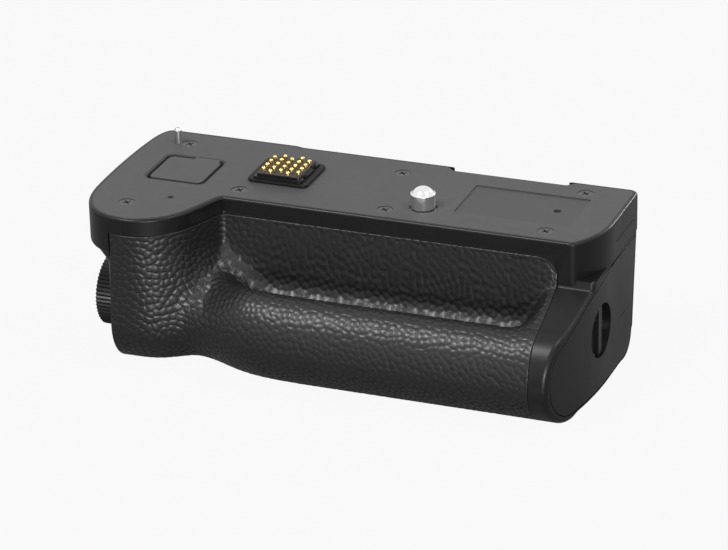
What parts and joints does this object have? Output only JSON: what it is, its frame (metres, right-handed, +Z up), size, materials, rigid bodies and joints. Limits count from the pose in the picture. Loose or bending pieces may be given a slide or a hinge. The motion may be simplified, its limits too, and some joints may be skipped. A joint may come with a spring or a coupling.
{
  "type": "camera battery grip",
  "caption": "Battery grip that screws under a camera, with a moulded hand grip, a finger groove, a sliding cell tray behind an end door, a spring contact block and end controls.",
  "frame": {"origin": "axis of the camera screw at the top face that meets the camera", "axes": "+X along the length to the tray door, +Y to the back, +Z up out of the top face along the camera screw"},
  "size_m": [0.1324, 0.0606, 0.0476],
  "materials": {
    "case": "fine moulded texture, satin",
    "plate": "matte dark grey",
    "skin": "pebbled black grip skin",
    "knob": "ribbed, satin",
    "seal": "matte",
    "chrome": "polished",
    "steel": "machined",
    "black_screw": "blackened",
    "gold": "gold plated",
    "gear": "cut",
    "board": "solder mask",
    "cell": "plain wrapped can"
  },
  "bodies": {
    "housing": {"main_case": "case", "top_plate": "plate", "plate_screws": "black_screw", "cap_pocket": "case", "locating_pin": "chrome", "connector_block": "case", "connector_seal": "seal", "front_grip_skin": "skin", "rear_thumb_skin": "skin", "screw_bush": "steel", "wheel_axle": "steel", "circuit_board": "board", "board_screws": "black_screw", "bay_contacts": "gold", "shutter_collar": "steel", "rear_dial_axle": "steel", "tripod_socket": "steel"},
    "contact_pins": {"pogo_pins": "gold"},
    "camera_screw": {"camera_screw": "chrome", "screw_gear": "gear"},
    "thumb_wheel": {"thumb_wheel": "knob"},
    "shutter_button": {"shutter_button": "case"},
    "front_dial": {"front_dial": "knob"},
    "rear_dial": {"rear_dial": "knob"},
    "af_button": {"af_button": "case"},
    "battery_tray": {"tray_frame": "case", "tray_door": "case", "door_screws": "black_screw", "tray_cells": "cell", "tray_contacts": "gold"},
    "tray_latch": {"tray_latch": "case", "latch_cam": "steel"}
  },
  "joints": [
    {"name": "contact_press", "type": "slide", "parent": "housing", "child": "contact_pins", "axis": [0, 0, -1], "range_m": [0, 0.0008], "stiffness_N_per_m": 400},
    {"name": "wheel_turn", "type": "hinge", "parent": "housing", "child": "thumb_wheel", "pos_m": [0.0145, 0.01197, -0.005], "axis": [0, 0, 1], "continuous": true},
    {"name": "screw_turn", "type": "hinge", "parent": "housing", "child": "camera_screw", "pos_m": [0, 0, 0], "axis": [0, 0, 1], "continuous": true},
    {"name": "shutter_press", "type": "slide", "parent": "housing", "child": "shutter_button", "axis": [1, 0, 0], "range_m": [0, 0.0012], "stiffness_N_per_m": 400},
    {"name": "front_dial_turn", "type": "hinge", "parent": "housing", "child": "front_dial", "pos_m": [-0.0795, -0.01, -0.0295], "axis": [1, 0, 0], "continuous": true},
    {"name": "rear_dial_turn", "type": "hinge", "parent": "housing", "child": "rear_dial", "pos_m": [-0.0742, 0.01639, -0.0285], "axis": [1, 0, 0], "continuous": true},
    {"name": "af_press", "type": "slide", "parent": "housing", "child": "af_button", "axis": [0, -0.9941, 0.1084], "range_m": [0, 0.0007], "stiffness_N_per_m": 400},
    {"name": "tray_slide", "type": "slide", "parent": "housing", "child": "battery_tray", "axis": [1, 0, 0], "range_m": [0, 0.11]},
    {"name": "latch_turn", "type": "hinge", "parent": "battery_tray", "child": "tray_latch", "pos_m": [0.0478, -0.004, -0.025], "axis": [1, 0, 0], "range_deg": [0, 90]}
  ],
  "couplings": [
    {"joint": "screw_turn", "follows": "wheel_turn", "ratio": -2.3571}
  ]
}
